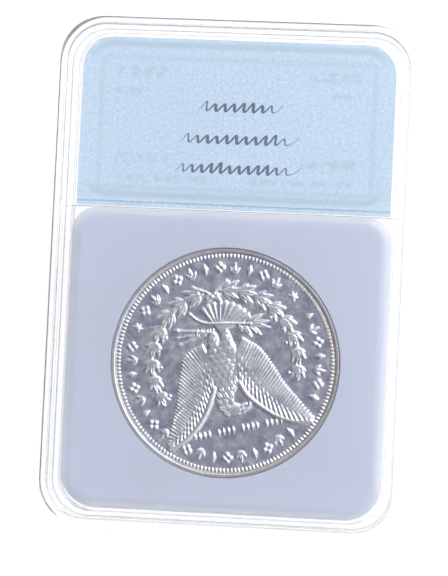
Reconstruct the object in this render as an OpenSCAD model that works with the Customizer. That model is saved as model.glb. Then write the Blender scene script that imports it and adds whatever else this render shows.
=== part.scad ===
// Sealed display slab for one large silver coin, with a two-card label above the coin.
// It lies on its front face: the back face is up (+Z), the label end is at +Y.
// The origin is the bottom centre of the whole slab. All sizes are in millimetres.

/* [Slab] */
// Overall width of the slab, left to right
slab_w = 60; // [60:0.5:64]
// Overall length of the slab, coin end to label end
slab_l = 85; // [85:0.5:90]
// Overall thickness over both stacking rims
slab_t = 8; // [8:0.1:9]
// Radius of the slab's outer corners
slab_corner_r = 8; // [7:0.5:10]

/* [Shells] */
// Thickness of each clear window
window_t = 1.3; // [1:0.1:1.4]
// Height of each stacking rim above its window
rim_h = 0.9; // [0.6:0.1:1]
// Width of the band outside the front rim, which the next slab's back rim covers
rim_band = 1.8; // [1.6:0.1:1.8]
// Width of the front stacking rim
front_rim_w = 1.35; // [1:0.05:1.4]
// Height of the welded joint line above the lowest point
seam_z = 4.6; // [4.5:0.1:4.8]
// Play between parts that nest in each other
nest_gap = 0.15; // [0.05:0.05:0.2]

/* [Coin pocket] */
// Width of the milky insert that holds the coin
insert_w = 53; // [52:0.1:53]
// Length of the insert
insert_l = 49.5; // [48:0.1:49.5]
// Corner radius of the insert beside the label
insert_top_r = 4; // [3:0.5:5]
// Corner radius of the insert at the coin end
insert_end_r = 6; // [5.5:0.5:7]
// How far the bevelled edge of the insert slopes inwards
insert_bevel = 1.4; // [0.5:0.1:1.6]
// How far the retaining lips of the seat reach over the coin's rim
lip_reach = 0.15; // [0.1:0.05:0.3]

/* [Coin] */
// Diameter of the coin
coin_d = 38.1; // [36:0.1:38.1]
// Thickness of the coin at its rim
coin_t = 2.4; // [2:0.1:2.6]
// Width of the coin's raised rim
coin_rim_w = 0.9; // [0.6:0.1:1.5]
// Depth of the coin's flat field below its rim
coin_field_depth = 0.25; // [0.15:0.05:0.4]
// Radial play of the coin in its seat
coin_play = 0.1; // [0.05:0.01:0.1]

/* [Label] */
// Width of the back label card
back_label_w = 51.9; // [50:0.1:52]
// Width of the front label card
front_label_w = 52; // [50:0.1:52.2]
// Length of each card, along the slab
label_l = 27.3; // [26:0.1:27.3]
// How far the front card shows below the back card
label_step = 0.8; // [0.4:0.1:0.8]
// Radius of the two upper corners of each card
label_corner_r = 5; // [4:0.5:6]
// Thickness of each card
card_t = 0.3; // [0.2:0.05:0.35]

/* [Hidden] */
$fn = 96;
eps = 0.01;

// Levels, from the front rim up to the back rim.
front_face_z = rim_h;
floor_z = front_face_z + window_t;
roof_z = slab_t - rim_h - window_t;
back_face_z = slab_t - rim_h;
mid_z = (floor_z + roof_z) / 2;

// The cavity: a wide pocket for the insert, and a shallow slot for the cards.
side_wall = 3.4;
end_wall = 2.9;
cavity_w = slab_w - 2 * side_wall;
cavity_l = slab_l - 2 * end_wall;
cavity_r = 5.7;
end_margin = 3.5;
insert_y = -slab_l / 2 + end_margin + insert_l / 2;
divide_y = insert_y + insert_l / 2 + nest_gap;
slot_t = 0.8;
slot_floor_z = mid_z - slot_t / 2;
slot_roof_z = mid_z + slot_t / 2;

// The nested walls and the weld.
outer_wall = 1.7;
tongue_w = 0.5;
tongue_h = 0.35;
tongue_inset = 0.6;
weld_play = 0.05;

// The seat in the insert.
insert_play = 0.05;
insert_h = roof_z - floor_z - insert_play;
insert_bevel_h = 0.9;
axial_play = 0.05;
seat_r = coin_d / 2 + coin_play;
seat_h = coin_t + 2 * axial_play;
lip_r = coin_d / 2 - lip_reach;
seat_z = floor_z + (insert_h - seat_h) / 2;
coin_z = seat_z + axial_play;
coin_bevel = 0.25;
coin_rim_slope = 0.3;

// The cards lie on each other in the slot.
label_end_y = slab_l / 2 - end_margin;
back_label_y = label_end_y - label_l / 2;
front_label_y = back_label_y - label_step;

clear_tint = [0.88, 0.93, 0.97, 0.35];
milky_tint = [0.77, 0.80, 0.88];
silver_tint = [0.72, 0.72, 0.74];
card_tint = [0.78, 0.87, 0.95];
back_card_tint = [0.74, 0.84, 0.94];

// Flat rectangle with one corner radius at +Y and another at -Y.
module rounded(w, l, upper_r, lower_r) {
    square([w, l - 2 * max(upper_r, lower_r)], center = true);
    for (side = [-1, 1]) {
        translate([side * (w / 2 - upper_r), l / 2 - upper_r]) circle(upper_r);
        translate([side * (w / 2 - lower_r), lower_r - l / 2]) circle(lower_r);
    }
    half(w, l, upper_r);
    mirror([0, 1]) half(w, l, lower_r);
}

// The straight-edged filling of one half, above the middle, for corners of radius r.
module half(w, l, r) {
    translate([r - w / 2, 0]) square([w - 2 * r, l / 2]);
    translate([-w / 2, 0]) square([w, l / 2 - r]);
}

// The slab's outline moved inwards by inset.
module outline(inset) {
    r = slab_corner_r - inset;
    rounded(slab_w - 2 * inset, slab_l - 2 * inset, r, r);
}

// The outline of the space inside the inner wall.
module cavity_outline() {
    rounded(cavity_w, cavity_l, cavity_r, cavity_r);
}

// Everything on the label side of the line between label and insert.
module label_side(margin) {
    translate([-slab_w, divide_y - margin]) square([2 * slab_w, slab_l]);
}

// A layer of a flat shape from one level to another.
module layer(from_z, to_z) {
    translate([0, 0, from_z]) linear_extrude(to_z - from_z) children();
}

// A closed band that follows the slab's outline.
module band(from_z, to_z, outer_inset, inner_inset) {
    layer(from_z, to_z) difference() {
        outline(outer_inset);
        outline(inner_inset);
    }
}

// Clear half that faces down: window, outer wall, front stacking rim and label bed.
module front_shell() {
    rim_inset = rim_band + nest_gap;
    color(clear_tint) difference() {
        union() {
            layer(front_face_z, floor_z) outline(0);
            band(floor_z, seam_z, 0, outer_wall);
            band(0, front_face_z, rim_inset, rim_inset + front_rim_w);
            layer(floor_z, slot_floor_z) intersection() {
                outline(outer_wall);
                label_side(0);
            }
        }
        band(
            seam_z - tongue_h - weld_play,
            seam_z + eps,
            tongue_inset - weld_play,
            tongue_inset + tongue_w + weld_play
        );
    }
}

// Clear half that faces up: window, inner wall, weld tongue and back stacking rim.
module back_shell() {
    color(clear_tint) difference() {
        union() {
            layer(seam_z, back_face_z) outline(0);
            band(back_face_z, slab_t, 0, rim_band);
            band(seam_z - tongue_h, seam_z, tongue_inset, tongue_inset + tongue_w);
            layer(floor_z, seam_z) outline(outer_wall + nest_gap);
        }
        layer(floor_z - eps, roof_z) difference() {
            cavity_outline();
            label_side(0);
        }
        layer(floor_z - eps, slot_floor_z) label_side(nest_gap);
        layer(slot_floor_z - eps, slot_roof_z) intersection() {
            cavity_outline();
            label_side(eps);
        }
    }
}

// Bevelled side profile of the insert, for a piece of the given width.
function bevelled(w) = [
    [-w / 2 + insert_bevel, 0],
    [w / 2 - insert_bevel, 0],
    [w / 2, insert_bevel_h],
    [w / 2, insert_h - insert_bevel_h],
    [w / 2 - insert_bevel, insert_h],
    [-w / 2 + insert_bevel, insert_h],
    [-w / 2, insert_h - insert_bevel_h],
    [-w / 2, insert_bevel_h]
];

// A straight bar of the insert's profile along Y, between two Y positions.
module bar_along_y(w, from_y, to_y) {
    translate([0, to_y, 0]) rotate([90, 0, 0]) linear_extrude(to_y - from_y) polygon(bevelled(w));
}

// A straight bar of the insert's profile along X, as wide as the insert is long.
module bar_along_x(w) {
    rotate([90, 0, 90]) linear_extrude(w, center = true) polygon(bevelled(insert_l));
}

// A round corner post of the insert.
module corner_post(r) {
    rotate_extrude() intersection() {
        polygon(bevelled(2 * r));
        square([r, insert_h]);
    }
}

// Milky plate that fills the cavity beside the label, with the coin's round seat.
module coin_insert() {
    color(milky_tint) translate([0, insert_y, floor_z]) difference() {
        union() {
            bar_along_x(insert_w - 2 * insert_end_r);
            intersection() {
                bar_along_x(insert_w - 2 * insert_top_r);
                translate([-insert_w, 0, -eps]) cube([2 * insert_w, insert_l, insert_h + 2 * eps]);
            }
            bar_along_y(insert_w, insert_end_r - insert_l / 2, insert_l / 2 - insert_top_r);
            for (side = [-1, 1]) {
                translate([side * (insert_w / 2 - insert_top_r), insert_l / 2 - insert_top_r, 0])
                    corner_post(insert_top_r);
                translate([side * (insert_w / 2 - insert_end_r), insert_end_r - insert_l / 2, 0])
                    corner_post(insert_end_r);
            }
        }
        translate([0, 0, -eps]) cylinder(r = lip_r, h = insert_h + 2 * eps, $fn = 180);
        translate([0, 0, seat_z - floor_z]) cylinder(r = seat_r, h = seat_h, $fn = 180);
    }
}

// Coin with a raised rim on both faces. It is free to turn in its seat.
module coin() {
    r = coin_d / 2;
    field_r = r - coin_rim_w;
    color(silver_tint) translate([0, insert_y, coin_z]) rotate_extrude($fn = 180) polygon([
        [0, coin_field_depth],
        [field_r - coin_rim_slope, coin_field_depth],
        [field_r, 0],
        [r - coin_bevel, 0],
        [r, coin_bevel],
        [r, coin_t - coin_bevel],
        [r - coin_bevel, coin_t],
        [field_r, coin_t],
        [field_r - coin_rim_slope, coin_t - coin_field_depth],
        [0, coin_t - coin_field_depth]
    ]);
}

// A card with two rounded upper corners and two square lower corners.
module card(w, centre_y, from_z) {
    translate([0, centre_y, 0]) layer(from_z, from_z + card_t) {
        half(w, label_l, label_corner_r);
        for (side = [-1, 1]) {
            translate([side * (w / 2 - label_corner_r), label_l / 2 - label_corner_r])
                circle(label_corner_r);
        }
        translate([-w / 2, -label_l / 2]) square([w, label_l / 2]);
    }
}

// Card that reads from the front face. It lies on the label bed.
module front_label() {
    color(card_tint) card(front_label_w, front_label_y, slot_floor_z);
}

// Card that reads from the back face. It lies on the front card.
module back_label() {
    color(back_card_tint) card(back_label_w, back_label_y, slot_floor_z + card_t);
}

front_shell();
back_shell();
coin_insert();
coin();
front_label();
back_label();
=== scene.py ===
"""A sealed clear slab that shows a large silver coin below a light blue label card.

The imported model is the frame. Each operator makes one piece or group of like pieces
around it, and the panel in the 3D view's sidebar lists the operators in order.
"""

import math

import bmesh
import bpy
import numpy as np
from bpy.props import FloatProperty, FloatVectorProperty, IntProperty, PointerProperty
from bpy.types import Operator, Panel, PropertyGroup
from mathutils import Matrix, Vector


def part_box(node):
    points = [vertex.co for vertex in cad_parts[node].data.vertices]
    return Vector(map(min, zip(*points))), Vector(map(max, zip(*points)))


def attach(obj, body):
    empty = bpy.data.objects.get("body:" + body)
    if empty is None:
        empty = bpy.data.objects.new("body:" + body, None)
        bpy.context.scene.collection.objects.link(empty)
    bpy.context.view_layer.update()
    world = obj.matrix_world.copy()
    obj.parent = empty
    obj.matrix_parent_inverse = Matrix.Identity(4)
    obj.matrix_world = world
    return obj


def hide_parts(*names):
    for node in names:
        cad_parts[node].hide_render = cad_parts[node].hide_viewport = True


bl_info = {
    "name": "Coin Slab",
    "version": (1, 0, 0),
    "blender": (4, 5, 0),
    "location": "3D View > Sidebar > Coin Slab",
    "description": "Builds a sealed coin slab around its packed frame",
    "category": "Object",
}

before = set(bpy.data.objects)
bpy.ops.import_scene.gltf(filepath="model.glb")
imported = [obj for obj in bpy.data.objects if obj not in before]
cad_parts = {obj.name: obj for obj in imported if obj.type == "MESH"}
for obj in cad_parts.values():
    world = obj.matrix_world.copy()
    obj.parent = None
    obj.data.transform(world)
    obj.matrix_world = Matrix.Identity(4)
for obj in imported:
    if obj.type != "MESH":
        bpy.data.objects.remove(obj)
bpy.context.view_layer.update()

MM = 0.001
TAU = 2 * math.pi
SLAB = "slab"
COIN = "coin"

# Walls, rims and weld of the two halves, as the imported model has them. The tongue is a
# little shorter, so that it stays clear of the groove's floor.
RIM_H = 0.9 * MM
RIM_BAND = 1.8 * MM
FRONT_RIM_W = 1.35 * MM
NEST_GAP = 0.15 * MM
OUTER_WALL = 1.7 * MM
SIDE_WALL = 3.4 * MM
END_WALL = 2.9 * MM
TONGUE_IN = 0.6 * MM
TONGUE_W = 0.5 * MM
TONGUE_H = 0.33 * MM
GROOVE_H = 0.4 * MM
PLAY = 0.05 * MM

# The insert's corners at the coin end and beside the label, its seat's play round the coin,
# and how far the seat's lips reach in.
INSERT_LOW_R = 6 * MM
INSERT_HIGH_R = 4 * MM
SEAT_PLAY = 0.1 * MM
LIP_REACH = 0.25 * MM

# The cards' upper corners, and how far inside their edge a painted shadow line runs.
CARD_R = 5 * MM
EDGE_SHADE_IN = 1.15 * MM

# The coin's struck mesh: points along each side of the two square grids, the grids' radius,
# and the circles of points outside them in millimetres, closest where the rim rises.
REVERSE_GRID = 216
OBVERSE_GRID = 114
GRID_R = 17.0
CIRCLES = (17.12, 17.24, 17.34, 17.44, 17.54, 17.66, 17.78, 17.88, 17.95, 18.01, 18.08, 18.15,
           18.22, 18.32, 18.44, 18.56, 18.68)
# The rounding at the rim's outer edge, and the reeded wall: (inset, drop) and (drop, groove).
EDGE_ROUNDING = ((0.27, 0.04), (0.14, 0.12), (0.05, 0.24))
REED_RAMP = ((0.38, 0), (0.55, 0.06))
POINTS_PER_REED = 5

# Print on the front card in millimetres: the frame's half width, low and high y, and rows of
# (low y, height, nearest x, farthest x), which stand on both sides of the middle.
PRINT_FRAME = (22.6, 14, 35.6)
PRINT_ROWS = ((32.4, 1.8, 11.8, 20.2), (29.6, 1.0, 15.6, 20.4), (18.2, 1.6, 10.7, 20.3),
              (15.2, 1.0, 2.5, 19.5))
# Lines of pen work in millimetres: low x, high x, y, number of waves, first crest.
PEN_LINES = ((-6.2, 6.2, 27.7, 8, 0), (-9.0, 8.6, 22.4, 11, 5), (-9.6, 9.0, 17.5, 12, 10))


# ---------------------------------------------------------------- settings


class ShellSettings(PropertyGroup):
    """Sizes of the two clear halves."""

    corner_r: FloatProperty(
        name="Corner Radius", description="Radius of the slab's outer corners",
        default=8 * MM, unit="LENGTH")
    wall_round: FloatProperty(
        name="Outer Rounding", description="Rounding of the slab's outer edges",
        default=0.7 * MM, unit="LENGTH")
    fine_round: FloatProperty(
        name="Fine Rounding", description="Rounding of the stacking rims and windows",
        default=0.25 * MM, unit="LENGTH")
    weld_gap: FloatProperty(
        name="Weld Gap", description="Height of the fine parting line between the halves",
        default=0.04 * MM, unit="LENGTH")
    tint: FloatVectorProperty(
        name="Plastic Tint", description="Colour of the clear plastic",
        default=(0.985, 0.992, 1.0), subtype="COLOR")


class InsertSettings(PropertyGroup):
    """The milky plate that holds the coin."""

    edge_round: FloatProperty(
        name="Edge Rounding", description="Width of the soft edge round the plate",
        default=1.4 * MM, unit="LENGTH")
    colour: FloatVectorProperty(
        name="Plate Colour", description="Colour of the milky plastic",
        default=(0.60, 0.635, 0.765), subtype="COLOR")


class CoinSettings(PropertyGroup):
    """The struck silver coin."""

    turn: FloatProperty(
        name="Turn in the Seat", description="How far the coin lies from upside down",
        default=math.radians(13.9), subtype="ANGLE")
    rim_height: FloatProperty(
        name="Rim Height", description="Height of the rim above the coin's field",
        default=0.35 * MM, unit="LENGTH")
    relief: FloatProperty(
        name="Relief", description="How boldly the designs stand out", default=1.2)
    teeth: IntProperty(
        name="Border Teeth", description="Number of small teeth inside the rim",
        default=180)
    reeds: IntProperty(
        name="Edge Reeds", description="Number of ridges round the coin's edge",
        default=180)
    silver: FloatVectorProperty(
        name="Silver", description="Colour of the bright silver",
        default=(0.76, 0.76, 0.78), subtype="COLOR")
    toning: FloatVectorProperty(
        name="Toning", description="Colour of the toned silver in the fields",
        default=(0.39, 0.40, 0.53), subtype="COLOR")


class LabelSettings(PropertyGroup):
    """The two cards and the pen flourishes on the back one."""

    card: FloatVectorProperty(
        name="Card Colour", description="Colour of the back card",
        default=(0.53, 0.67, 0.81), subtype="COLOR")
    ink: FloatVectorProperty(
        name="Ink Colour", description="Colour of the pen flourishes",
        default=(0.05, 0.085, 0.16), subtype="COLOR")


class StageSettings(PropertyGroup):
    """Camera, light and floor."""

    distance: FloatProperty(
        name="Camera Distance", description="From the camera to the insert's upper face",
        default=0.35, unit="LENGTH")
    lens: FloatProperty(
        name="Lens", description="Focal length in millimetres", default=133.2,
        unit="CAMERA")
    lean_x: FloatProperty(
        name="Lean Down", description="Camera's lean towards the coin end",
        default=math.radians(2.22), subtype="ANGLE")
    lean_y: FloatProperty(
        name="Lean Sideways", description="Camera's lean towards the left-hand side",
        default=math.radians(4.69), subtype="ANGLE")
    roll: FloatProperty(
        name="Roll", description="How far the slab looks turned in the view",
        default=math.radians(2.575), subtype="ANGLE")
    aim: FloatVectorProperty(
        name="Aim", description="Where the middle of the view falls beside the slab's middle",
        size=2, default=(0.82 * MM, 1.94 * MM), subtype="TRANSLATION", unit="LENGTH")
    floor: FloatVectorProperty(
        name="Floor", description="Colour of the floor",
        default=(0.2, 0.2, 0.2), subtype="COLOR")
    floor_glow: FloatProperty(
        name="Floor Glow", description="Light that the floor gives off, as a light table does",
        default=1.05)
    key_turn: FloatProperty(
        name="Key Light Turn", description="Side that the key light comes from",
        default=math.radians(33), subtype="ANGLE")
    key_height: FloatProperty(
        name="Key Light Height", description="Key light's angle above the floor",
        default=math.radians(48), subtype="ANGLE")
    key_size: FloatProperty(
        name="Key Light Size", description="Diameter of the large soft light",
        default=0.63, unit="LENGTH")
    key_distance: FloatProperty(
        name="Key Light Distance", description="From the key light to the slab",
        default=0.9, unit="LENGTH")
    key_power: FloatProperty(
        name="Key Light Power", description="Power of the large soft light in watts",
        default=2.85, unit="POWER")
    overhead: FloatVectorProperty(
        name="Overhead", description="Soft light from straight above",
        default=(0.30, 0.305, 0.37), subtype="COLOR", max=4.0)
    horizon: FloatVectorProperty(
        name="Horizon", description="Soft light from low down all round",
        default=(0.8, 0.8, 0.82), subtype="COLOR", max=8.0)
    key_side: FloatVectorProperty(
        name="Key Side", description="Soft light from half way up on the key light's side",
        default=(1.9, 1.9, 1.9), subtype="COLOR", max=8.0)
    far_side: FloatVectorProperty(
        name="Far Side", description="Soft light from half way up on the other side",
        default=(0.05, 0.05, 0.07), subtype="COLOR", max=8.0)


class SlabSettings(PropertyGroup):
    """Everything that a user can change."""

    shells: PointerProperty(type=ShellSettings)
    insert: PointerProperty(type=InsertSettings)
    coin: PointerProperty(type=CoinSettings)
    labels: PointerProperty(type=LabelSettings)
    stage: PointerProperty(type=StageSettings)


# ---------------------------------------------------------------- mesh tools


def mesh_object(name, points, faces):
    """A new object from points in metres, with its faces turned outwards."""
    mesh = bpy.data.meshes.new(name)
    mesh.from_pydata([tuple(p) for p in points], [], faces)
    shape = bmesh.new()
    shape.from_mesh(mesh)
    bmesh.ops.recalc_face_normals(shape, faces=shape.faces)
    shape.to_mesh(mesh)
    shape.free()
    obj = bpy.data.objects.new(name, mesh)
    bpy.context.scene.collection.objects.link(obj)
    return obj


def shade(obj, smooth_angle, keep_flat):
    """Smooth shading with edges sharper than the angle crisp, and large flat faces flat."""
    obj.data.polygons.foreach_set("use_smooth", [True] * len(obj.data.polygons))
    obj.data.set_sharp_from_angle(angle=math.radians(smooth_angle))
    if keep_flat:
        even = obj.modifiers.new("even_normals", "WEIGHTED_NORMAL")
        even.keep_sharp = True
        even.weight = 100


def plate_ring(area, inset, z, steps=14):
    """One loop of a rounded rectangle. area is (half width, low y, high y, low r, high r)."""
    half_w, low_y, high_y, low_r, high_r = area
    least = 0.04 * MM
    low_r = max(low_r - inset, least)
    high_r = max(high_r - inset, least)
    x, low, high = half_w - inset, low_y + inset, high_y - inset
    corners = (
        (x - high_r, high - high_r, high_r, 0),
        (high_r - x, high - high_r, high_r, 1),
        (low_r - x, low + low_r, low_r, 2),
        (x - low_r, low + low_r, low_r, 3),
    )
    loop = []
    for cx, cy, r, quarter in corners:
        for k in range(steps + 1):
            a = (quarter + k / steps) * TAU / 4
            loop.append((cx + r * math.cos(a), cy + r * math.sin(a), z))
    return loop


def round_ring(centre, radius, z, steps=192):
    """One loop of a circle."""
    cx, cy = centre
    return [(cx + radius * math.cos(TAU * k / steps), cy + radius * math.sin(TAU * k / steps), z)
            for k in range(steps)]


def soft_profile(corners, steps=5):
    """A path of (inset, z) points, with each corner rounded by its own radius.

    corners is a list of (inset, z, radius)."""
    path = []
    for k, (d, z, r) in enumerate(corners):
        here = Vector((d, z))
        if r == 0 or k in (0, len(corners) - 1):
            path.append((d, z))
            continue
        before = Vector(corners[k - 1][:2]) - here
        after = Vector(corners[k + 1][:2]) - here
        first = here + before.normalized() * min(r, before.length / 2)
        last = here + after.normalized() * min(r, after.length / 2)
        for s in range(steps + 1):
            t = s / steps
            point = first * (1 - t)**2 + here * 2 * t * (1 - t) + last * t**2
            path.append((point.x, point.y))
    return path


def loft(name, rings):
    """A closed solid through a list of loops, with a flat cap at each end."""
    count = len(rings[0])
    points = [p for ring in rings for p in ring]
    faces = [list(range(count))]
    for r in range(len(rings) - 1):
        a, b = r * count, (r + 1) * count
        for k in range(count):
            n = (k + 1) % count
            faces.append((a + k, b + k, b + n, a + n))
    faces.append([len(points) - count + k for k in range(count)][::-1])
    return mesh_object(name, points, faces)


def plate(name, area, corners):
    """A solid whose side follows a profile round a rounded rectangle."""
    return loft(name, [plate_ring(area, d, z) for d, z in soft_profile(corners)])


def turned(name, centre, corners):
    """A solid whose side follows a profile of (radius, z, rounding) round a centre."""
    return loft(name, [round_ring(centre, r, z) for r, z in soft_profile(corners)])


def combine(obj, other, operation):
    """Cuts other out of obj, or joins it on, and removes other."""
    step = obj.modifiers.new("combine", "BOOLEAN")
    step.operation = operation
    step.solver = "EXACT"
    step.object = other
    graph = bpy.context.evaluated_depsgraph_get()
    made = bpy.data.meshes.new_from_object(obj.evaluated_get(graph))
    obj.modifiers.clear()
    obj.data = made
    bpy.data.objects.remove(other)


def finish_piece(obj, material, nodes=(), body=SLAB, smooth_angle=35, keep_flat=True):
    """Gives a piece its shading, material and body, and hides the nodes it stands for."""
    shade(obj, smooth_angle, keep_flat)
    obj.data.materials.clear()
    obj.data.materials.append(material)
    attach(obj, body)
    if nodes:
        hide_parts(*nodes)


# ---------------------------------------------------------------- material tools


class Shader:
    """A material's or a world's node tree, with short ways to add and join nodes."""

    def __init__(self, name, kind="Material"):
        store = bpy.data.worlds if kind == "World" else bpy.data.materials
        self.owner = store.new(name)
        self.owner.use_nodes = True
        self.tree = self.owner.node_tree
        self.tree.nodes.clear()
        self.out = self.tree.nodes.new("ShaderNodeOutput" + kind)

    def node(self, kind, settings=None, **sockets):
        """A node of a kind. settings are its own options, sockets its inputs by name."""
        made = self.tree.nodes.new("ShaderNode" + kind)
        for key, value in (settings or {}).items():
            setattr(made, key, value)
        for key, value in sockets.items():
            self.put(made.inputs[key.replace("_", " ")], value)
        return made

    def put(self, socket, value):
        """Sets a socket to a value, or joins it to another node's output."""
        if isinstance(value, bpy.types.NodeSocket):
            self.tree.links.new(value, socket)
        else:
            socket.default_value = value

    def place(self):
        """The place on the object, in metres."""
        return self.node("TexCoord").outputs["Object"]

    def noise(self, scale, detail=4.0, roughness=0.5, place=None):
        """Fine random variation from 0 to 1."""
        made = self.node("TexNoise", Scale=scale, Detail=detail, Roughness=roughness)
        self.put(made.inputs["Vector"], place or self.place())
        return made.outputs["Fac"]

    def span(self, value, low, high, to_low, to_high):
        """A value moved from one range to another, and kept inside it."""
        made = self.node("MapRange", Value=value)
        for name, number in zip(("From Min", "From Max", "To Min", "To Max"),
                                (low, high, to_low, to_high)):
            made.inputs[name].default_value = number
        return made.outputs["Result"]

    def math(self, operation, first, second=0.0):
        """One sum on one or two values."""
        made = self.node("Math", {"operation": operation})
        self.put(made.inputs[0], first)
        self.put(made.inputs[1], second)
        return made.outputs["Value"]

    def mixed(self, factor, first, second):
        """A mix of two colours."""
        made = self.node("Mix", {"data_type": "RGBA"})
        self.put(made.inputs["Factor"], factor)
        self.put(made.inputs[6], first)
        self.put(made.inputs[7], second)
        return made.outputs[2]

    def bump(self, height, strength, distance):
        """Small surface relief from a height."""
        return self.node("Bump", Height=height, Strength=strength,
                         Distance=distance).outputs["Normal"]

    def frame_distance(self, area, radius, off=0.0):
        """Distance outside a rounded rectangle seen from above, negative inside it.

        area is (half width, low y, high y). With off, there is one on each side, off from
        the middle. The first ABSOLUTE is to mirror x alone, so y is moved well above zero
        before it and back after it."""
        half_w, low, high = area
        far = 1
        flat = self.node("VectorMath", {"operation": "MULTIPLY"})
        self.put(flat.inputs[0], self.place())
        flat.inputs[1].default_value = (1, 1, 0)
        steps = (
            ("ADD", (0, far, 0)),
            ("ABSOLUTE", None),
            ("SUBTRACT", (off, far + (low + high) / 2, 0)),
            ("ABSOLUTE", None),
            ("SUBTRACT", (half_w - radius, (high - low) / 2 - radius, 0)),
        )
        flow = flat.outputs["Vector"]
        for operation, value in steps:
            made = self.node("VectorMath", {"operation": operation})
            self.put(made.inputs[0], flow)
            if value:
                made.inputs[1].default_value = value
            flow = made.outputs["Vector"]
        beyond = self.node("VectorMath", {"operation": "MAXIMUM"})
        self.put(beyond.inputs[0], flow)
        length = self.node("VectorMath", {"operation": "LENGTH"})
        self.put(length.inputs[0], beyond.outputs["Vector"])
        parts = self.node("SeparateXYZ", Vector=flow)
        inner = self.math("MINIMUM", self.math("MAXIMUM", parts.outputs["X"],
                                               parts.outputs["Y"]), 0.0)
        return self.math("SUBTRACT", self.math("ADD", length.outputs["Value"], inner), radius)

    def finish(self, surface):
        """Joins the surface to the output and returns the material or world."""
        self.tree.links.new(surface, self.out.inputs["Surface"])
        return self.owner


def rgba(colour):
    """A colour of three values as one of four."""
    return (*colour, 1.0)


def clear_plastic(tint):
    """Clear moulded plastic with faint haze, fine hairlines and handling marks."""
    s = Shader("clear_plastic")
    haze = s.span(s.noise(160, 3), 0.45, 0.75, 0.012, 0.05)
    stretch = s.node("Mapping", Vector=s.place())
    stretch.inputs["Rotation"].default_value = (0, 0, 0.5)
    stretch.inputs["Scale"].default_value = (1, 0.03, 1)
    hairlines = s.noise(900, 2, place=stretch.outputs["Vector"])
    marks = s.span(hairlines, 0.62, 0.7, 0, 0.05)
    glass = s.node("BsdfPrincipled", Roughness=s.math("ADD", haze, marks))
    glass.inputs["Base Color"].default_value = rgba(tint)
    glass.inputs["Transmission Weight"].default_value = 0.97
    glass.inputs["IOR"].default_value = 1.55
    s.put(glass.inputs["Normal"], s.bump(s.noise(90, 1), 0.04, 0.0002))
    lamps = s.node("BsdfTransparent")
    lamps.inputs["Color"].default_value = (0.985, 0.99, 0.995, 1)
    both = s.node("MixShader")
    s.put(both.inputs[0], s.node("LightPath").outputs["Is Shadow Ray"])
    s.put(both.inputs[1], glass.outputs["BSDF"])
    s.put(both.inputs[2], lamps.outputs["BSDF"])
    return s.finish(both.outputs["Shader"])


def milky_plastic(colour, area, corner_r, edge):
    """Milky translucent plastic, with painted light that makes it lighter towards its thin outer
    edge.
    """
    s = Shader("milky_plastic")
    cloud = s.noise(60, 3)
    base = s.mixed(s.span(cloud, 0.3, 0.7, 0, 1),
                   rgba([c * 0.98 for c in colour]), rgba([c * 1.02 for c in colour]))
    # Painted light: the colour is mixed towards a pale tint near the plate's outer edge, standing
    # in for light coming through the thinner plastic there.
    away = s.frame_distance(area, corner_r)
    base = s.mixed(s.span(away, -0.8 * edge, -0.1 * edge, 0, 0.9), base, (0.88, 0.9, 0.95, 1))
    shell = s.node("BsdfPrincipled", Roughness=s.span(s.noise(700, 3), 0.3, 0.7, 0.34, 0.46))
    s.put(shell.inputs["Base Color"], base)
    s.put(shell.inputs["Normal"], s.bump(s.noise(2500, 2), 0.12, 0.00003))
    glow = s.node("BsdfTranslucent")
    s.put(glow.inputs["Color"], base)
    both = s.node("MixShader")
    both.inputs[0].default_value = 0.22
    s.put(both.inputs[1], shell.outputs["BSDF"])
    s.put(both.inputs[2], glow.outputs["BSDF"])
    return s.finish(both.outputs["Shader"])


def struck_silver(silver, toning, middle, field_height, rim_height):
    """Struck silver: toned in the low fields, bright on the high points, warm on the rim.

    The heights are measured from the middle of the coin."""
    s = Shader("struck_silver")
    place = s.place()
    z = s.node("SeparateXYZ", Vector=place).outputs["Z"]
    height = s.math("ABSOLUTE", s.math("SUBTRACT", z, middle.z))
    high = s.span(height, field_height, rim_height, 0, 1)
    patches = s.noise(420, 6, 0.65)
    worn = s.math("ADD", high, s.span(patches, 0.34, 0.66, -0.4, 0.4))
    base = s.mixed(s.span(worn, -0.3, 0.5, 0, 1), rgba(toning), rgba(silver))
    across = s.node("VectorMath", {"operation": "DISTANCE"})
    s.put(across.inputs[0], place)
    across.inputs[1].default_value = middle
    rim_start, rim_full = 17.2 * MM, 18.2 * MM
    rim = s.span(across.outputs["Value"], rim_start, rim_full, 0, 1)
    warm = s.math("MULTIPLY", s.span(s.noise(70, 3), 0.35, 0.6, 0.15, 0.8), rim)
    base = s.mixed(warm, base, (0.66, 0.60, 0.54, 1))
    metal = s.node("BsdfPrincipled", Metallic=1.0)
    s.put(metal.inputs["Base Color"], base)
    s.put(metal.inputs["Roughness"], s.span(patches, 0.3, 0.7, 0.14, 0.3))
    grain = s.math("ADD", s.noise(800, 5, 0.7), s.math("MULTIPLY", s.noise(5200, 3, 0.6), 0.25))
    s.put(metal.inputs["Normal"], s.bump(grain, 0.5, 0.00006))
    return s.finish(metal.outputs["BSDF"])


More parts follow.
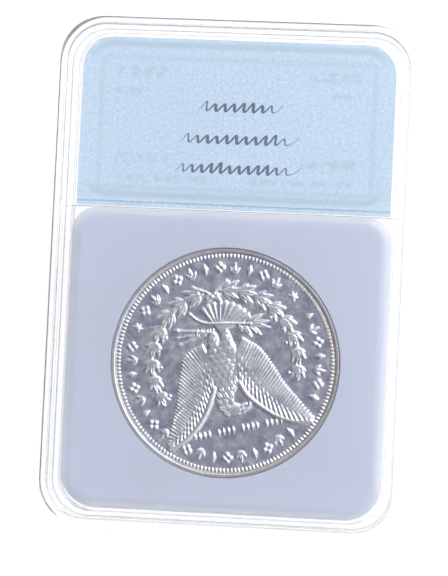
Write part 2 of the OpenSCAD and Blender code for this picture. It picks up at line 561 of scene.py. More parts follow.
def print_behind(s, base, faint, outline, border):
    """The card's colour with the other card's frame and print showing through, and painted shade
    in a line inside its edge near its upper and lower ends.
    """
    away = s.math("ABSOLUTE", s.frame_distance(border, 0.5 * MM))
    base = s.mixed(s.span(away, 0.2 * MM, 0.6 * MM, 0.38, 0), base, faint)
    streaks = s.span(s.noise(900, 2), 0.4, 0.62, 0, 0.7)
    for low, tall, near, reach in PRINT_ROWS:
        block = ((reach - near) / 2 * MM, low * MM, (low + tall) * MM)
        away = s.frame_distance(block, 0.3 * MM, (near + reach) / 2 * MM)
        inside = s.math("MULTIPLY", s.span(away, -0.3 * MM, 0.3 * MM, 1, 0), streaks)
        base = s.mixed(inside, base, faint)
    # Painted shade: a darker line just inside the card's edge, only near its upper and lower ends.
    low, high = outline[1:]
    edge = s.frame_distance(outline, CARD_R)
    line = s.math("ABSOLUTE", s.math("ADD", edge, EDGE_SHADE_IN))
    y = s.node("SeparateXYZ", Vector=s.place()).outputs["Y"]
    ends = s.math("ABSOLUTE", s.math("SUBTRACT", y, (low + high) / 2))
    ends = s.span(ends, 0.36 * (high - low), 0.45 * (high - low), 0, 0.8)
    line = s.math("MULTIPLY", s.span(line, 0.25 * MM, 0.75 * MM, 1, 0), ends)
    return s.mixed(line, base, faint)


def paper_card(name, colour, outline, border=None):
    """Smooth card with fine fibres and a pale cut edge.

    outline and border are (half width, low y, high y). The border is print on the card
    behind, and it shows through faintly with a few blocks of print inside it."""
    s = Shader(name)
    fibres = s.noise(2400, 4, 0.7)
    mottle = s.noise(1900, 3)
    light = rgba([min(1, c * 1.13) for c in colour])
    dark = rgba([c * 0.86 for c in colour])
    tone = s.math("ADD", s.math("MULTIPLY", fibres, 0.6), s.math("MULTIPLY", mottle, 0.4))
    base = s.mixed(s.span(tone, 0.38, 0.62, 0, 1), dark, light)
    if border:
        base = print_behind(s, base, rgba([c * 0.8 for c in colour]), outline, border)
    normal = s.node("NewGeometry").outputs["Normal"]
    side = s.math("ABSOLUTE", s.node("SeparateXYZ", Vector=normal).outputs["Z"])
    base = s.mixed(s.span(side, 0.3, 0.7, 0.9, 0), base, (0.93, 0.95, 0.97, 1))
    sheet = s.node("BsdfPrincipled", Roughness=s.span(fibres, 0.3, 0.7, 0.62, 0.8))
    s.put(sheet.inputs["Base Color"], base)
    s.put(sheet.inputs["Normal"], s.bump(fibres, 0.3, 0.00003))
    return s.finish(sheet.outputs["BSDF"])


def pen_ink(colour):
    """Dried ink, a little uneven."""
    s = Shader("pen_ink")
    flow = s.noise(900, 3)
    base = s.mixed(s.span(flow, 0.3, 0.7, 0, 1), rgba(colour), rgba([c * 1.5 for c in colour]))
    ink = s.node("BsdfPrincipled", Roughness=s.span(flow, 0.3, 0.7, 0.45, 0.6))
    s.put(ink.inputs["Base Color"], base)
    return s.finish(ink.outputs["BSDF"])


def pale_floor(colour, glow):
    """Plain pale light table with hardly any texture."""
    s = Shader("pale_floor")
    grain = s.noise(40, 3)
    base = s.mixed(s.span(grain, 0.3, 0.7, 0, 1), rgba([c * 0.99 for c in colour]), rgba(colour))
    top = s.node("BsdfPrincipled", Roughness=0.85)
    s.put(top.inputs["Base Color"], base)
    top.inputs["Emission Color"].default_value = (1, 1, 1, 1)
    top.inputs["Emission Strength"].default_value = glow
    return s.finish(top.outputs["BSDF"])


def studio_world(overhead, horizon, key_side, far_side, key_way):
    """Soft light: white round the horizon, bright on the key light's side, dim opposite it."""
    s = Shader("studio", "World")
    way = s.node("TexCoord").outputs["Generated"]
    up = s.node("SeparateXYZ", Vector=way).outputs["Z"]
    towards = s.node("VectorMath", {"operation": "DOT_PRODUCT"})
    s.put(towards.inputs[0], way)
    towards.inputs[1].default_value = (key_way.x, key_way.y, 0)
    side = s.span(towards.outputs["Value"], -0.35, 0.35, 0, 1)
    far = s.mixed(s.span(up, 0.08, 0.22, 0, 1), rgba(horizon), rgba(far_side))
    near = s.mixed(s.span(up, 0.25, 0.45, 0, 1), rgba(horizon), rgba(key_side))
    walls = s.mixed(side, far, near)
    glow = s.mixed(s.span(up, 0.84, 0.985, 0, 1), walls, rgba(overhead))
    back = s.node("Background", Color=glow)
    return s.finish(back.outputs["Background"])


# ---------------------------------------------------------------- relief tools


def polar(radius, degrees):
    """A point at a distance and angle from the coin's centre."""
    a = math.radians(degrees)
    return radius * math.cos(a), radius * math.sin(a)


def between(a, b, t):
    """The point a share t of the way from a to b."""
    return a[0] + t * (b[0] - a[0]), a[1] + t * (b[1] - a[1])


def curve(points, count):
    """A smooth curve through the points, as count points."""
    p = np.array([points[0], *points, points[-1]], float)
    path = []
    for s in np.linspace(0, len(points) - 1 - 1e-9, count):
        k, t = int(s), s - int(s)
        a, b, c, d = p[k:k + 4]
        path.append(tuple(0.5 * (2 * b + (c - a) * t + (2 * a - 5 * b + 4 * c - d) * t**2
                                 + (3 * b - a - 3 * c + d) * t**3)))
    return path


class Relief:
    """Heights over a set of points, in millimetres. Where shapes cross, the higher one wins."""

    def __init__(self, x, y):
        self.x = x
        self.y = y
        self.height = np.zeros_like(x)

    def near(self, cx, cy, reach):
        """The points within reach of a place."""
        return np.nonzero((abs(self.x - cx) < reach) & (abs(self.y - cy) < reach))[0]

    def local(self, at, cx, cy, angle):
        """Distances along and across a direction through a place."""
        dx, dy = self.x[at] - cx, self.y[at] - cy
        c, s = math.cos(angle), math.sin(angle)
        return dx * c + dy * s, dy * c - dx * s

    def lift(self, at, height):
        """Raises the points to a height, if they are lower."""
        self.height[at] = np.maximum(self.height[at], height)

    def oval(self, cx, cy, angle, half_long, half_wide, top, crown=0.5):
        """A domed oval."""
        at = self.near(cx, cy, max(half_long, half_wide))
        u, v = self.local(at, cx, cy, angle)
        self.lift(at, top * np.clip(1 - (u / half_long)**2 - (v / half_wide)**2, 0, 1)**crown)

    def bead(self, cx, cy, radius, top):
        """A round dot."""
        self.oval(cx, cy, 0, radius, radius, top)

    def rod(self, start, end, start_r, end_r, top, end_top=None):
        """A half-round bar that can taper in width and height."""
        (x0, y0), (x1, y1) = start, end
        length = math.hypot(x1 - x0, y1 - y0)
        at = self.near((x0 + x1) / 2, (y0 + y1) / 2, length / 2 + max(start_r, end_r))
        u, v = self.local(at, x0, y0, math.atan2(y1 - y0, x1 - x0))
        along = np.clip(u / length, 0, 1)
        radius = start_r + (end_r - start_r) * along
        off = np.hypot(u - along * length, v)
        tops = top + ((top if end_top is None else end_top) - top) * along
        self.lift(at, tops * np.sqrt(np.clip(1 - (off / radius)**2, 0, 1)))

    def line(self, points, start_r, end_r, top, end_top=None):
        """A half-round bar along a path."""
        steps = len(points) - 1
        fall = (top if end_top is None else end_top) - top
        for k in range(steps):
            a, b = k / steps, (k + 1) / steps
            self.rod(points[k], points[k + 1],
                     start_r + (end_r - start_r) * a, start_r + (end_r - start_r) * b,
                     top + fall * a, top + fall * b)

    def leaf(self, x, y, angle, length, width, top):
        """A pointed leaf from its stalk, with a sunk midrib."""
        at = self.near(x, y, length)
        u, v = self.local(at, x, y, angle)
        t = np.clip(u / length, 0, 1)
        half = width / 2 * np.sin(math.pi * t**0.8) + 1e-6
        body = np.clip(1 - (v / half)**2, 0, 1) * ((u > 0) & (u < length))
        self.lift(at, top * body**0.45 * (1 - 0.55 * np.exp(-(v / (0.13 * width))**2)))

    def star(self, cx, cy, radius, top, points=6):
        """A star whose tips slope down from its middle."""
        at = self.near(cx, cy, radius)
        u, v = self.local(at, cx, cy, TAU / 4)
        part = TAU / points
        turn = abs((np.arctan2(v, u) + part / 2) % part - part / 2)
        notch = 0.42 * radius
        nx, ny = notch * math.cos(part / 2), notch * math.sin(part / 2)
        r = np.hypot(u, v)
        side = (radius - r * np.cos(turn)) * ny - r * np.sin(turn) * (radius - nx)
        depth = side / math.hypot(nx - radius, ny)
        self.lift(at, np.clip(depth / (0.55 * notch), 0, 1)**0.8 * top)

    def lozenge(self, cx, cy, angle, half_long, half_wide, top):
        """A small flat-topped diamond."""
        at = self.near(cx, cy, max(half_long, half_wide))
        u, v = self.local(at, cx, cy, angle)
        self.lift(at, np.clip(2.2 * (1 - abs(u) / half_long - abs(v) / half_wide), 0, 1) * top)

    def feather_tips(self, cx, cy, angle, half_long, half_wide, pitch, depth):
        """Cuts rows of overlapping feather tips into an oval area."""
        at = self.near(cx, cy, max(half_long, half_wide))
        u, v = self.local(at, cx, cy, angle)
        inside = np.clip(2 - 2 * (u / half_long)**2 - 2 * (v / half_wide)**2, 0, 1)
        row = np.floor(u / pitch)
        across = (v / pitch + row / 2) % 1 - 0.5
        tip = u / pitch - row - 0.8 + 2.4 * across**2
        self.height[at] -= depth * np.exp(-(tip / 0.23)**2) * inside

    def border(self, teeth, radius, height):
        """The crowned rim and the ring of small teeth inside it."""
        for k in range(teeth):
            a = 360 * k / teeth
            self.rod(polar(radius - 1.55, a), polar(radius - 1.25, a), 0.17, 0.2, 0.5 * height)
        out = np.hypot(self.x, self.y) - radius
        crown = height * (1 - 0.7 * (out + 0.5)**2)
        self.height = np.maximum(self.height, crown * np.clip((out + 1.06) / 0.26, 0, 1))


# ---------------------------------------------------------------- the coin's designs


def feathered_wing(face, lead, middle, trail):
    """Three tiers of feathers from the leading edge of a wing to its trailing edge."""
    count = 34
    lead, middle, trail = curve(lead, count), curve(middle, count), curve(trail, count)
    for k in range(count):
        face.rod(middle[k], trail[k], 0.5, 0.24, 0.11, 0.11)
        face.rod(lead[k], middle[k], 0.5, 0.42, 0.12)
    for k in range(count):
        face.rod(between(middle[k], trail[k], 0.1), trail[k], 0.19, 0.16, 0.175, 0.175)
    for k in range(1, count, 2):
        for reach, top in ((1.04, 0.2), (0.66, 0.23), (0.36, 0.25)):
            tip = between(lead[k], middle[k], reach)
            face.rod(between(lead[k], middle[k], reach - 0.36), tip, 0.12, 0.27, 0.13, top)
    face.line(lead, 0.5, 0.28, 0.27, 0.22)


def feathered_body(face):
    """The bird's tail, legs and breast."""
    for k in range(9):
        dx, dy = polar(5.2 - 0.08 * k, 200 + 12 * k)
        face.rod((-0.2, -5.2), (-0.2 + dx, -5.0 + dy), 0.3, 0.52, 0.12, 0.13)
        face.rod((-0.2, -5.2), (-0.2 + dx, -5.0 + dy), 0.1, 0.14, 0.18)
    for x in (-1.0, 1.35):
        face.rod((x, -1.4), (0.9 * x, -4.7), 1.4, 0.8, 0.26, 0.19)
        for toe in (-0.55, 0, 0.55):
            face.rod((x, -4.9), (x + toe, -5.8), 0.2, 0.15, 0.22, 0.18)
        face.feather_tips(0.95 * x, -3.0, -TAU / 4, 2.4, 1.3, 1.0, 0.05)
    face.oval(0.5, 0.9, math.radians(88), 4.8, 2.7, 0.29, 0.65)
    face.feather_tips(0.5, 0.9, -TAU / 4, 4.6, 2.5, 1.0, 0.055)


def bird_head(face):
    """Neck, head, crest feathers and hooked beak, facing left."""
    neck = curve([(0.5, 3.4), (1.3, 4.9), (1.5, 6.3), (0.7, 7.6)], 12)
    face.line(neck, 1.5, 1.1, 0.15)
    face.oval(-0.2, 7.9, math.radians(-10), 1.65, 1.15, 0.24, 0.6)
    nape = curve([(1.1, 8.5), (1.9, 7.5), (2.2, 6.3), (1.9, 5.1), (1.3, 4.1)], 6)
    for k, (x, y) in enumerate(nape):
        for row in range(min(3, k + 1)):
            face.leaf(x - 0.95 * row - 0.5, y, math.radians(-18 - 15 * k), 1.6, 0.8, 0.28)
    beak = curve([(-1.5, 8.2), (-2.3, 7.95), (-2.75, 7.35), (-2.65, 6.8)], 8)
    face.line(beak, 0.5, 0.14, 0.27, 0.19)
    face.rod((-1.4, 7.45), (-2.15, 7.25), 0.34, 0.17, 0.23, 0.18)
    face.bead(-1.0, 8.15, 0.22, 0.29)
    face.rod((-1.6, 8.65), (-0.4, 8.75), 0.14, 0.12, 0.285, 0.27)


def branch_and_arrows(face):
    """What the bird holds in its feet."""
    stem = curve([(-5.4, -5.5), (-3.0, -6.0), (-0.6, -6.5), (1.6, -6.9), (3.1, -7.7),
                  (4.2, -9.0)], 16)
    face.line(stem, 0.24, 0.17, 0.25, 0.21)
    leaves = ((-5.3, -5.5, 158, 3.6), (-5.0, -5.5, 128, 2.9), (-4.2, -5.6, 112, 2.5),
              (-5.2, -5.6, 176, 3.5), (-4.6, -5.8, 196, 3.4), (-3.6, -5.9, 216, 2.6),
              (-3.2, -5.8, 122, 2.0))
    for x, y, degrees, length in leaves:
        face.leaf(x, y, math.radians(degrees), length, 0.8, 0.21)
    for degrees in (11, -1, -13):
        dx, dy = polar(5.4, degrees)
        face.rod((1.4, -5.4), (1.4 + dx, -5.4 + dy), 0.15, 0.15, 0.2)
        face.lozenge(1.4 + dx, -5.4 + dy, math.radians(degrees), 0.8, 0.38, 0.21)
        for k in range(4):
            t = 0.25 + 0.07 * k
            bx, by = 1.4 + dx * t, -5.4 + dy * t
            for side in (-1, 1):
                ex, ey = polar(0.45, degrees + side * 140)
                face.rod((bx, by), (bx + ex, by + ey), 0.09, 0.07, 0.18)


def wreath(face, clusters=8, radius=12.0):
    """Two leafy stems that rise from a tied bow."""
    leaning = ((-27, 3.3, 0.95, 0.19), (2, 3.7, 0.95, 0.24), (31, 3.2, 0.95, 0.215),
               (-52, 2.2, 0.7, 0.16), (55, 2.1, 0.7, 0.17))
    for side in (-1, 1):
        stem = [polar(radius - 0.1 + 0.2 * math.sin(k), -83 + 8.6 * k) for k in range(13)]
        face.line([(side * x, y) for x, y in stem], 0.17, 0.1, 0.18, 0.14)
        for k in range(clusters):
            place = -81 + 13.4 * k
            x, y = polar(radius, place)
            size = 1 - 0.035 * k
            for lean, length, width, top in leaning:
                angle = math.radians(place + 90 + lean)
                face.leaf(side * x, y, angle if side > 0 else math.pi - angle,
                          length * size, width * size, top)
            if k % 2:
                bx, by = polar(radius - 1.4, place + 7)
                face.bead(side * bx, by, 0.26, 0.18)
        ribbon = curve([(0, -11.2), (side * 0.9, -12.0), (side * 2.0, -12.6),
                        (side * 2.9, -13.3)], 8)
        face.line(ribbon, 0.26, 0.16, 0.2, 0.14)
        for lean, length in ((28, 1.7), (-8, 1.5)):
            angle = math.radians(lean if side > 0 else 180 - lean)
            face.leaf(0, -11.05, angle, length, 0.8, 0.25)
    face.bead(0, -11.05, 0.4, 0.29)


def ornament(face, kind, radius, degrees, size=1.08, top=0.2):
    """A diamond, a three-leaf sprig or a group of four beads, turned to face outwards."""
    x, y = polar(radius, degrees)
    a = math.radians(degrees)
    if kind == 0:
        face.lozenge(x, y, a, size, 0.52 * size, top)
    elif kind == 1:
        stalk = polar(radius - size, degrees)
        for lean, length in ((-0.62, 1.45), (0, 1.95), (0.62, 1.45)):
            face.leaf(*stalk, a + lean, length * size, 0.5 * size, top)
    else:
        for k in range(4):
            dx, dy = polar(0.5 * size, degrees + 90 * k)
            face.bead(x + dx, y + dy, 0.36 * size, top)


def reverse_design(face):
    """A bird with raised wings in a wreath, inside a ring of ornaments."""
    wing_tips = (134.5, 46)
    upper, lower = 27, 11
    for k in range(upper):
        degrees = 198 - 8.42 * k
        if min(abs(degrees - tip) for tip in wing_tips) > 5:
            ornament(face, k % 3, 15.6, degrees)
    for k in range(lower):
        ornament(face, (k + 1) % 3, 15.7, 226 + 9 * k)
    for degrees in (213, -33):
        face.star(*polar(15.6, degrees), 1.15, 0.2)
    places, gaps, first, pitch = 19, (4, 9, 14), -7.2, 0.8
    for k in range(places):
        if k not in gaps:
            face.lozenge(first + pitch * k, 11, TAU / 4, 0.72, 0.34, 0.19)
    wreath(face)
    feathered_wing(
        face,
        [(-1.7, 3.6), (-2.6, 5.9), (-4.6, 8.3), (-7.0, 10.4), (-9.6, 11.7), (-12.0, 12.0)],
        [(-2.2, -1.2), (-3.6, 1.6), (-4.8, 4.6), (-6.6, 7.4), (-9.0, 9.7), (-11.6, 11.5)],
        [(-3.6, -3.4), (-5.9, -1.3), (-7.5, 2.0), (-8.9, 5.4), (-10.6, 8.4), (-12.4, 11.6)])
    feathered_wing(
        face,
        [(2.6, 3.8), (3.7, 6.0), (5.2, 8.2), (7.3, 10.2), (9.6, 11.6), (11.7, 12.1)],
        [(2.6, -1.2), (4.1, 1.5), (5.3, 4.6), (6.9, 7.4), (9.0, 9.7), (11.3, 11.5)],
        [(3.2, -3.5), (6.3, -2.2), (7.9, 1.4), (9.0, 5.0), (10.4, 8.2), (11.9, 11.6)])
    feathered_body(face)
    bird_head(face)
    branch_and_arrows(face)


def obverse_design(face):
    """A large star on a sunburst, inside a ring of small stars."""
    rays, stars = 48, 26
    for k in range(rays):
        reach = 12.6 if k % 2 else 10.8
        face.rod(polar(5.0, 360 * k / rays), polar(reach, 360 * k / rays), 0.3, 0.14, 0.14, 0.1)
    for k in range(stars):
        face.star(*polar(15.3, 360 * k / stars), 1.0, 0.2)
    face.star(0, 0, 9.0, 0.28, 5)


def disc_points(side):
    """A square grid of points bent into a disc of radius 1, in rows."""
    span = np.linspace(-1, 1, side)
    u, v = np.meshgrid(span, span)
    wide = abs(u) >= abs(v)
    r = np.where(wide, u, v)
    safe = np.where(r == 0, 1, r)
    turn = np.where(wide, math.pi / 4 * v / safe, math.pi / 2 - math.pi / 4 * u / safe)
    return r * np.cos(turn), r * np.sin(turn)


def grid_outline(side):
    """The outer points of a square grid of points in rows, in order."""
    last = side - 1
    return ([c for c in range(last)] + [r * side + last for r in range(last)]
            + [last * side + c for c in range(last, 0, -1)]
            + [r * side for r in range(last, 0, -1)])


def zip_loops(inner, outer, points):
    """Triangles between two loops that run the same way round, by angle."""
    def angles(loop):
        a = np.unwrap([math.atan2(points[k][1], points[k][0]) for k in loop])
        return a - TAU * round(a[0] / TAU)

    start = int(np.argmin(np.abs([math.remainder(a, TAU) for a in angles(inner)])))
    inner = inner[start:] + inner[:start]
    a, b = list(angles(inner)), list(angles(outer))
    a.append(a[0] + TAU)
    b.append(b[0] + TAU)
    faces, i, j = [], 0, 0
    while i < len(inner) or j < len(outer):
        p, q = inner[i % len(inner)], outer[j % len(outer)]
        if j >= len(outer) or (i < len(inner) and a[i + 1] < b[j + 1]):
            faces.append((p, q, inner[(i + 1) % len(inner)]))
            i += 1
        else:
            faces.append((p, q, outer[(j + 1) % len(outer)]))
            j += 1
    return faces


def struck_face(settings, radius, side, design, mirrored):
    """One face of the coin: x, y and depth below the rim of its points, faces, outer loop."""
    around = POINTS_PER_REED * settings.reeds
    turn = TAU * np.arange(around) / around
    circles = [*CIRCLES, *(radius - inset for inset, drop in EDGE_ROUNDING)]
    gx, gy = disc_points(side)
    x = np.concatenate([gx.ravel() * GRID_R] + [r * np.cos(turn) for r in circles])
    y = np.concatenate([gy.ravel() * GRID_R] + [r * np.sin(turn) for r in circles])
    rim = settings.rim_height / MM
    face = Relief(-x if mirrored else x, y)
    design(face)
    face.height *= settings.relief
    face.border(settings.teeth, radius, rim)
    depth = rim - np.minimum(face.height, rim)
    for k, (inset, drop) in enumerate(reversed(EDGE_ROUNDING)):
        end = len(x) - k * around
        depth[end - around:end] += drop
    faces = [(k, k + 1, k + side + 1, k + side)
             for row in range(side - 1)
             for k in range(row * side, (row + 1) * side - 1)]
    start = side * side
    loops = [[start + n * around + k for k in range(around)] for n in range(len(circles))]
    faces += zip_loops(grid_outline(side), loops[0], list(zip(x, y)))
    faces += band(loops)
    return x, y, depth, faces, loops[-1]


def reeded_wall(radius, thickness, around):
    """Loops of points round the coin's edge, from the top down, grooved between the reeds."""
    lower_ramp = [(thickness - drop, groove) for drop, groove in reversed(REED_RAMP)]
    loops = []
    for drop, groove in (*REED_RAMP, *lower_ramp):
        loop = []
        for k in range(around):
            a = TAU * k / around
            r = radius - groove * (k % POINTS_PER_REED > POINTS_PER_REED // 2)
            loop.append((r * math.cos(a), r * math.sin(a), -drop))
        loops.append(loop)
    return loops


def coin_mesh(settings, low, high):
    """Points in millimetres and faces of the whole coin, struck on both sides."""
    radius = (high.x - low.x) / 2 / MM
    bottom, top = low.z / MM, high.z / MM
    points, faces, edges = [], [], []
    for side, z, inward, design in ((REVERSE_GRID, top, -1, reverse_design),
                                    (OBVERSE_GRID, bottom, 1, obverse_design)):
        first = len(points)
        x, y, depth, its_faces, edge = struck_face(settings, radius, side, design, inward > 0)
        points += list(zip(x, y, z + inward * depth))
        faces += [tuple(first + k for k in face) for face in its_faces]
        edges.append([first + k for k in edge])
    walls = []
    for loop in reeded_wall(radius, top - bottom, len(edges[0])):
        walls.append([len(points) + k for k in range(len(loop))])
        points += [(x, y, top + z) for x, y, z in loop]
    faces += band([edges[0], *walls, edges[1]])
    return points, faces


def band(loops):
    """Quads between neighbouring loops of the same length."""
    faces = []
    for a, b in zip(loops, loops[1:]):
        for k in range(len(a)):
            n = (k + 1) % len(a)
            faces.append((a[k], b[k], b[n], a[n]))
    return faces


# ---------------------------------------------------------------- print on the cards


def pen_stroke(path, width, z, thick):
    """Points and faces of a flat ink line whose width follows a broad nib held at a slant."""
    nib = Vector((math.cos(0.7), math.sin(0.7)))
    points = []
    for k, (x, y) in enumerate(path):
        before, after = Vector(path[max(k - 1, 0)]), Vector(path[min(k + 1, len(path) - 1)])
        way = (after - before).normalized()
        across = Vector((-way.y, way.x))
        taper = min(1, 4 * min(k, len(path) - 1 - k) / len(path) + 0.25)
        half = width / 2 * taper * (0.4 + 0.6 * abs(across.dot(nib)))
        for side, level in ((-1, z), (1, z), (1, z + thick), (-1, z + thick)):
            points.append((x + side * across.x * half, y + side * across.y * half, level))
    faces = [(0, 1, 2, 3), tuple(len(points) - 4 + k for k in (3, 2, 1, 0))]
    for k in range(len(path) - 1):
        for c in range(4):
            n = (c + 1) % 4
            a, b = 4 * k, 4 * (k + 1)
            faces.append((a + c, b + c, b + n, a + n))
    return points, faces


def flourish(low_x, high_x, y, waves, swell, first):
    """Points of one line of pen work: a slanted wave with tall and short crests, and a tail."""
    crests = (1.7, 0.75, 0.6, 0.9, 0.65, 1.45, 0.6, 0.8, 0.7, 0.55, 1.2, 0.65, 0.85, 0.6)
    steps = 18
    length = high_x - low_x
    path = []
    for k in range(waves * steps + 1):
        t = k / steps
        here, after = (crests[(int(t) + first + n) % len(crests)] for n in (0, 1))
        tall = here + (after - here) * (t - int(t))
        up = math.sin(TAU * t - 1.2)
        rise = swell * up * (tall if up > 0 else 0.55)
        path.append((low_x + length * t / waves + 0.42 * rise, y + rise))
    x, y_end = path[-1]
    path += [(x + 0.12 * length * t, y_end + 1.6 * swell * t * t) for t in (0.2, 0.4, 0.6, 0.8, 1)]
    return path


def bar(low_x, high_x, low_y, high_y, z, thick):
    """Points and faces of a flat printed bar."""
    points = [(x, y, level) for level in (z, z + thick)
              for x, y in ((low_x, low_y), (high_x, low_y), (high_x, high_y), (low_x, high_y))]
    faces = [(3, 2, 1, 0), (4, 5, 6, 7)]
    faces += [(k, (k + 1) % 4, (k + 1) % 4 + 4, k + 4) for k in range(4)]
    return points, faces


def frame_and_blocks(border, z, thick):
    """Printed bars of the front card: a frame, and short lines of print inside it."""
    half, low, high = border
    line = 0.5 * MM
    bars = [bar(side * half - line, side * half + line, low + line, high - line, z, thick)
            for side in (-1, 1)]
    bars += [bar(-half - line, half + line, y - line, y + line, z, thick) for y in (low, high)]
    for y, tall, near, far in PRINT_ROWS:
        for side in (-1, 1):
            ends = sorted((side * near * MM, side * far * MM))
            bars.append(bar(*ends, y * MM, (y + tall) * MM, z, thick))
    return bars


def joined(parts):
    """Many sets of points and faces as one."""
    points, faces = [], []
    for some_points, some_faces in parts:
        faces += [tuple(len(points) + k for k in face) for face in some_faces]
        points += some_points
    return points, faces


# ---------------------------------------------------------------- the clear halves


def shell_levels():
    """Heights and edges that both halves share, by name."""
    low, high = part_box("front_shell")
    insert_low, insert_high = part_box("coin_insert")
    return {
        "low": low, "high": high, "seam": high.z, "top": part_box("back_shell")[1].z,
        "floor": insert_low.z, "roof": insert_high.z + PLAY,
        "divide": insert_high.y + NEST_GAP,
        "slot_floor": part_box("front_label")[0].z,
        "slot_roof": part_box("back_label")[1].z + 0.2 * MM,
    }


def outline(s, levels):
    """The slab's whole outline, for plate."""
    low, high = levels["low"], levels["high"]
    return high.x, low.y, high.y, s.corner_r, s.corner_r


def front_half(s, levels):
    """The half that lies below: window, rim, outer wall with its groove, and label bed."""
    seam, floor, high = levels["seam"], levels["floor"], levels["high"]
    fine, gap = s.fine_round, s.weld_gap / 2
    rim_out = RIM_BAND + NEST_GAP
    rim_in = rim_out + FRONT_RIM_W
    groove_out = TONGUE_IN - PLAY
    groove_in = TONGUE_IN + TONGUE_W + PLAY
    front = plate("front_shell_clear", outline(s, levels), [
        (rim_in, RIM_H, 0), (rim_in, 0, fine), (rim_out, 0, fine), (rim_out, RIM_H, fine),
        (0, RIM_H, s.wall_round), (0, seam - gap, fine / 2),
        (groove_out, seam - gap, 0), (groove_out, seam - GROOVE_H, 0),
        (groove_in, seam - GROOVE_H, 0), (groove_in, seam - gap, 0),
        (OUTER_WALL, seam - gap, fine / 2), (OUTER_WALL, floor, 0)])
    inside = OUTER_WALL - PLAY
    bed_area = (high.x - inside, levels["divide"], high.y - inside, 0.2 * MM,
                s.corner_r - inside)
    bed_top = levels["slot_floor"] - 0.02 * MM
    bed = plate("bed", bed_area, [
        (0, floor - 0.3 * MM, 0), (0, bed_top, fine / 2), (fine, bed_top, 0)])
    combine(front, bed, "UNION")
    return front


def back_half(s, levels):
    """The half on top: window, rim, tongue and inner wall, with pocket and slot cut out."""
    low, high = levels["low"], levels["high"]
    seam, floor, top, divide = (levels[key] for key in ("seam", "floor", "top", "divide"))
    fine, gap = s.fine_round, s.weld_gap / 2
    wall_out = OUTER_WALL + NEST_GAP
    tongue_in = TONGUE_IN + TONGUE_W
    back = plate("back_shell_clear", outline(s, levels), [
        (wall_out, floor + gap, 0), (wall_out, seam + gap, 0), (tongue_in, seam + gap, 0),
        (tongue_in, seam - TONGUE_H, 0), (TONGUE_IN, seam - TONGUE_H, 0),
        (TONGUE_IN, seam + gap, 0), (0, seam + gap, fine / 2), (0, top, s.wall_round),
        (RIM_BAND, top, fine), (RIM_BAND, top - RIM_H, fine),
        (RIM_BAND + 0.8 * MM, top - RIM_H, 0)])
    sharp = 0.2 * MM
    roof, slot_roof = levels["roof"], levels["slot_roof"]
    pocket_r, slot_r = s.corner_r - 2.4 * MM, s.corner_r - 2.3 * MM
    pocket = (high.x - SIDE_WALL, low.y + END_WALL, divide, pocket_r, sharp)
    combine(back, plate("pocket", pocket, [
        (0, 0, 0), (0, roof, 0.3 * MM), (0.3 * MM, roof, 0)]), "DIFFERENCE")
    clearing = (high.x, divide - NEST_GAP, high.y, sharp, s.corner_r)
    combine(back, plate("clearing", clearing, [
        (0, 0, 0), (0, levels["slot_floor"], 0)]), "DIFFERENCE")
    slot = (high.x - SIDE_WALL, divide - sharp, high.y - END_WALL, sharp, slot_r)
    combine(back, plate("slot", slot, [
        (0, 0, 0), (0, slot_roof, 0.1 * MM), (0.1 * MM, slot_roof, 0)]), "DIFFERENCE")
    return back


# ---------------------------------------------------------------- operators


def settings_of(context):
    """The slab's settings."""
    return context.scene.coin_slab


class BuildShells(Operator):
    """Makes the two clear halves with their stacking rims, weld, pocket and label slot"""

    bl_idname = "coin_slab.shells"
    bl_label = "Clear Shells"

    def execute(self, context):
        s = settings_of(context).shells
        plastic = clear_plastic(s.tint)
        levels = shell_levels()
        front = front_half(s, levels)
        finish_piece(front, plastic, ("front_shell",))
        back = back_half(s, levels)
        finish_piece(back, plastic, ("back_shell",))
        return {"FINISHED"}


class BuildInsert(Operator):
    """Makes the milky plate with the lipped seat that holds the coin"""

    bl_idname = "coin_slab.insert"
    bl_label = "Coin Insert"

    def execute(self, context):
        s = settings_of(context).insert
        low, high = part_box("coin_insert")
        coin_low, coin_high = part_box("coin")
        lift = 0.03 * MM
        bottom, top = low.z + lift, high.z - lift
        edge, drop = s.edge_round, 0.65 * s.edge_round
        area = (high.x, low.y, high.y, INSERT_LOW_R, INSERT_HIGH_R)
        body = plate("coin_insert_plate", area, [
            (2 * edge, bottom, 0), (edge, bottom, edge / 2), (0, bottom + drop, edge / 2),
            (0, top - drop, edge / 2), (edge, top, edge / 2), (2 * edge, top, 0)])
        centre = ((coin_low.x + coin_high.x) / 2, (coin_low.y + coin_high.y) / 2)
        seat = (coin_high.x - coin_low.x) / 2 + SEAT_PLAY
        lip = seat - LIP_REACH
        seat_low, seat_high = coin_low.z - PLAY, coin_high.z + PLAY
        soft = 0.18 * MM
        hole = turned("hole", centre, [
            (lip + soft, bottom - soft, 0), (lip, bottom + soft, soft / 2),
            (lip, seat_low, soft / 3), (seat, seat_low, 0), (seat, seat_high, 0),
            (lip, seat_high, soft / 3), (lip, top - soft, soft / 2),
            (lip + soft, top + soft, 0)])
        combine(body, hole, "DIFFERENCE")
        corner = (INSERT_LOW_R + INSERT_HIGH_R) / 2
        material = milky_plastic(s.colour, (high.x, low.y, high.y), corner, 1.15 * edge)
        finish_piece(body, material, ("coin_insert",))
        return {"FINISHED"}


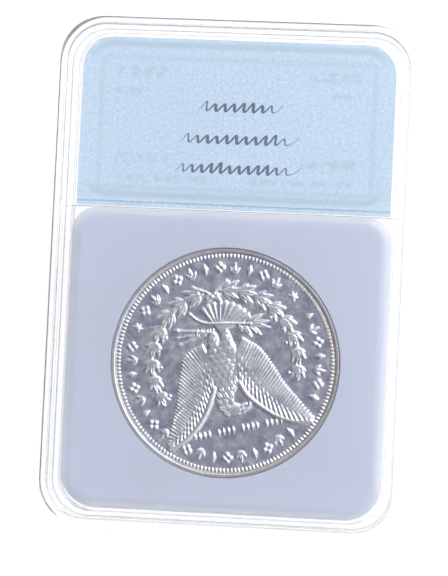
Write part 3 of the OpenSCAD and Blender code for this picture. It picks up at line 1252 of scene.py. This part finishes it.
class BuildCoin(Operator):
    """Strikes the silver coin on both sides and lays it in its seat"""

    bl_idname = "coin_slab.coin"
    bl_label = "Struck Coin"

    def execute(self, context):
        s = settings_of(context).coin
        low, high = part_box("coin")
        points, faces = coin_mesh(s, low, high)
        body = mesh_object("coin_struck", points, faces)
        middle = Vector(((low.x + high.x) / 2, (low.y + high.y) / 2, 0))
        place = (Matrix.Translation(middle) @ Matrix.Rotation(math.pi + s.turn, 4, "Z")
                 @ Matrix.Diagonal((MM, MM, MM, 1)))
        body.data.transform(place)
        half = (high.z - low.z) / 2
        silver = struck_silver(s.silver, s.toning, (low + high) / 2, half - s.rim_height, half)
        finish_piece(body, silver, ("coin",), COIN, 60, keep_flat=False)
        return {"FINISHED"}


class BuildCards(Operator):
    """Makes the two label cards, the pen flourishes and the print on the front card"""

    bl_idname = "coin_slab.cards"
    bl_label = "Label Cards"

    def execute(self, context):
        s = settings_of(context).labels
        skin, soft, sharp = 0.015 * MM, 0.06 * MM, 0.1 * MM
        border = tuple(value * MM for value in PRINT_FRAME)
        cards = (("front_label", "front_card", None), ("back_label", "back_card", border))
        for node, slot, showing in cards:
            low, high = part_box(node)
            area = (high.x, low.y, high.y, sharp, CARD_R)
            card = plate(node + "_card", area, [
                (2 * soft, low.z + skin, 0), (0, low.z + skin, soft),
                (0, high.z - skin, soft), (2 * soft, high.z - skin, 0)])
            paper = paper_card(node + "_paper", s.card, (high.x, low.y, high.y), showing)
            finish_piece(card, paper, (node,))

        ink = pen_ink(s.ink)
        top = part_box("back_label")[1].z - skin
        sunk, thick = 0.01 * MM, 0.03 * MM
        strokes = []
        for low_x, high_x, y, waves, first in PEN_LINES:
            path = flourish(low_x * MM, high_x * MM, y * MM, waves, 0.85 * MM, first)
            strokes.append(pen_stroke(path, 0.6 * MM, top - sunk, thick))
        flourishes = mesh_object("pen_flourishes", *joined(strokes))
        finish_piece(flourishes, ink)
        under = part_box("front_label")[0].z + skin
        bars = frame_and_blocks(border, under - sunk, thick)
        print_bars = mesh_object("front_card_print", *joined(bars))
        finish_piece(print_bars, ink)
        return {"FINISHED"}


class BuildStage(Operator):
    """Sets up the floor, the soft studio light and the camera"""

    bl_idname = "coin_slab.stage"
    bl_label = "Stage"

    def execute(self, context):
        s = settings_of(context).stage
        half, under = 1.5, -0.02 * MM
        corners = [(-half, -half, under), (half, -half, under),
                   (half, half, under), (-half, half, under)]
        floor = mesh_object("floor", corners, [(0, 1, 2, 3)])
        floor.data.materials.append(pale_floor(s.floor, s.floor_glow))

        target = Vector((0, 0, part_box("coin_insert")[1].z))
        key_way = Vector((math.cos(s.key_turn) * math.cos(s.key_height),
                          math.sin(s.key_turn) * math.cos(s.key_height),
                          math.sin(s.key_height)))
        lamp = bpy.data.lights.new("key_light", "AREA")
        lamp.shape = "DISK"
        lamp.size = s.key_size
        lamp.energy = s.key_power
        key = bpy.data.objects.new("key_light", lamp)
        key.location = target + key_way * s.key_distance
        key.rotation_euler = key_way.to_track_quat("Z", "Y").to_euler()
        context.scene.collection.objects.link(key)
        context.scene.world = studio_world(
            s.overhead, s.horizon, s.key_side, s.far_side, key_way)

        turn = (Matrix.Rotation(-s.lean_y, 3, "Y") @ Matrix.Rotation(-s.lean_x, 3, "X")
                @ Matrix.Rotation(-s.roll, 3, "Z")).transposed()
        lens = bpy.data.cameras.new("camera")
        lens.lens = s.lens
        camera = bpy.data.objects.new("camera", lens)
        place = target + turn @ Vector((-s.aim[0], -s.aim[1], s.distance))
        camera.matrix_world = Matrix.Translation(place) @ turn.to_4x4()
        context.scene.collection.objects.link(camera)
        context.scene.camera = camera
        context.scene.view_settings.view_transform = "Standard"
        return {"FINISHED"}


class CoinSlabPanel(Panel):
    """Lists the operators that build the slab, in order"""

    bl_idname = "VIEW3D_PT_coin_slab"
    bl_label = "Coin Slab"
    bl_space_type = "VIEW_3D"
    bl_region_type = "UI"
    bl_category = "Coin Slab"

    def draw(self, context):
        for operator in OPERATORS:
            self.layout.operator(operator.bl_idname)


OPERATORS = (BuildShells, BuildInsert, BuildCoin, BuildCards, BuildStage)
CLASSES = (ShellSettings, InsertSettings, CoinSettings, LabelSettings, StageSettings,
           SlabSettings, *OPERATORS, CoinSlabPanel)


def register():
    """Registers the settings, operators and panel."""
    for cls in CLASSES:
        bpy.utils.register_class(cls)
    bpy.types.Scene.coin_slab = PointerProperty(type=SlabSettings)


def unregister():
    """Removes what register adds."""
    del bpy.types.Scene.coin_slab
    for cls in reversed(CLASSES):
        bpy.utils.unregister_class(cls)


def main():
    """Builds everything in order."""
    register()
    bpy.ops.coin_slab.shells()
    bpy.ops.coin_slab.insert()
    bpy.ops.coin_slab.coin()
    bpy.ops.coin_slab.cards()
    bpy.ops.coin_slab.stage()


if __name__ == "__main__":
    main()
